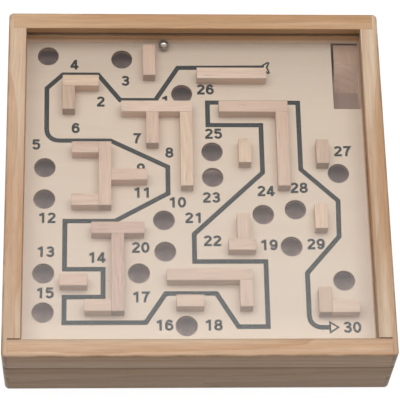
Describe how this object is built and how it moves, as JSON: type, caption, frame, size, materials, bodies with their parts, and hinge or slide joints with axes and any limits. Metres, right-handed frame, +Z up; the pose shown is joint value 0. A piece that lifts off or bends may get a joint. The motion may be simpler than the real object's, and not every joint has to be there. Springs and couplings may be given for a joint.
{
  "type": "ball labyrinth puzzle",
  "caption": "Hand-held wooden box with a maze board of glued wall strips and drop holes under a clear cover; a steel ball rolls along the lanes as the box is tilted.",
  "frame": {"origin": "middle of the underside of the box, on the surface that it stands on", "axes": "+X to the player's right, +Y to the back of the maze, +Z up through the clear cover"},
  "size_m": [0.21, 0.21, 0.048],
  "materials": {
    "rail_wood": "clear satin lacquer",
    "front_wood": "clear satin lacquer",
    "board_ply": "sanded basswood plywood, printed",
    "strip_wood": "sanded beech",
    "floor_board": "hardboard",
    "ramp_wood": "sanded beech",
    "clear_acrylic": "clear polished sheet",
    "ball_steel": "polished"
  },
  "bodies": {
    "case": {"left_rail": "rail_wood", "right_rail": "rail_wood", "back_rail": "rail_wood", "front_rail": "front_wood", "closing_strip": "front_wood", "clear_cover": "clear_acrylic", "maze_board": "board_ply", "floor_panel": "floor_board", "return_ramp": "ramp_wood", "wall_strip_01": "strip_wood", "wall_strip_02": "strip_wood", "wall_strip_03": "strip_wood", "wall_strip_04": "strip_wood", "wall_strip_05": "strip_wood", "wall_strip_06": "strip_wood", "wall_strip_07": "strip_wood", "wall_strip_08": "strip_wood", "wall_strip_09": "strip_wood", "wall_strip_10": "strip_wood", "wall_strip_11": "strip_wood", "wall_strip_12": "strip_wood", "wall_strip_13": "strip_wood", "wall_strip_14": "strip_wood", "wall_strip_15": "strip_wood", "wall_strip_16": "strip_wood", "wall_strip_17": "strip_wood", "wall_strip_18": "strip_wood", "wall_strip_19": "strip_wood", "wall_strip_20": "strip_wood", "wall_strip_21": "strip_wood", "wall_strip_22": "strip_wood", "wall_strip_23": "strip_wood", "wall_strip_24": "strip_wood", "wall_strip_25": "strip_wood", "wall_strip_26": "strip_wood", "wall_strip_27": "strip_wood"},
    "ball": {"steel_ball": "ball_steel"}
  },
  "joints": [
    {"name": "ball_roll", "type": "slide", "parent": "case", "child": "ball", "axis": [1, 0, 0], "range_m": [-0.0018, 0.1088]}
  ]
}
